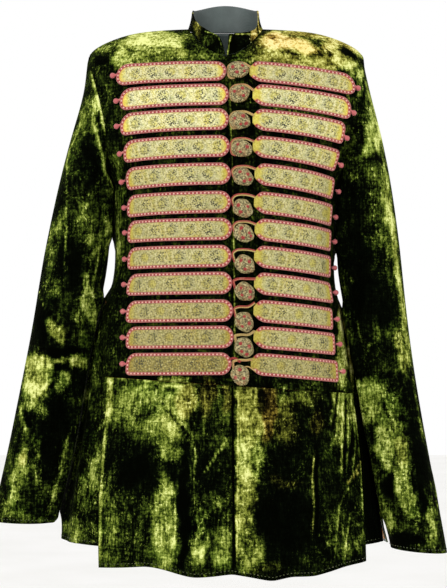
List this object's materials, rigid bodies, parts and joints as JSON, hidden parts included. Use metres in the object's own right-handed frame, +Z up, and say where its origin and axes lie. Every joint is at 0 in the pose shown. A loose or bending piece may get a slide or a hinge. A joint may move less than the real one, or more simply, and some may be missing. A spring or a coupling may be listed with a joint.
{
  "type": "long coat",
  "caption": "Hollow, worn long coat with standing collar, long sleeves, flared skirt with side vent, and rows of bars closed by corded loops and knot buttons.",
  "frame": {"origin": "in the middle of the neck at the height of the shoulder seams, where the wearer's shoulders hold the coat", "axes": "+Z up, -Y out of the coat's front, +X toward the wearer's left side"},
  "size_m": [0.7605, 0.354, 0.9681],
  "materials": {
    "velvet": "crushed silk velvet, moss green with gold highlights",
    "velvet_dark": "crushed silk velvet, dark green",
    "lining": "plain ochre silk",
    "brocade": "woven brocade with metal thread and a red cord edge",
    "knot": "wound silk cord",
    "cord": "twisted silk cord"
  },
  "bodies": {
    "root": {"front_right": "velvet", "front_left": "velvet", "front_skirt_right": "velvet", "front_skirt_left": "velvet", "gore_right": "velvet_dark", "gore_left": "velvet_dark", "sleeve_right": "velvet", "sleeve_left": "velvet", "back": "velvet_dark", "skirt_lining": "lining", "collar": "velvet", "bar_right_01": "brocade", "bar_right_02": "brocade", "bar_right_03": "brocade", "bar_right_04": "brocade", "bar_right_05": "brocade", "bar_right_06": "brocade", "bar_right_07": "brocade", "bar_right_08": "brocade", "bar_right_09": "brocade", "bar_right_10": "brocade", "bar_right_11": "brocade", "bar_right_12": "brocade", "bar_left_01": "brocade", "bar_left_02": "brocade", "bar_left_03": "brocade", "bar_left_04": "brocade", "bar_left_05": "brocade", "bar_left_06": "brocade", "bar_left_07": "brocade", "bar_left_08": "brocade", "bar_left_09": "brocade", "bar_left_10": "brocade", "bar_left_11": "brocade", "bar_left_12": "brocade", "loop_01": "cord", "loop_02": "cord", "loop_03": "cord", "loop_04": "cord", "loop_05": "cord", "loop_06": "cord", "loop_07": "cord", "loop_08": "cord", "loop_09": "cord", "loop_10": "cord", "loop_11": "cord", "loop_12": "cord", "knot_01": "knot", "knot_02": "knot", "knot_03": "knot", "knot_04": "knot", "knot_05": "knot", "knot_06": "knot", "knot_07": "knot", "knot_08": "knot", "knot_09": "knot", "knot_10": "knot", "knot_11": "knot", "knot_12": "knot"}
  },
  "joints": []
}
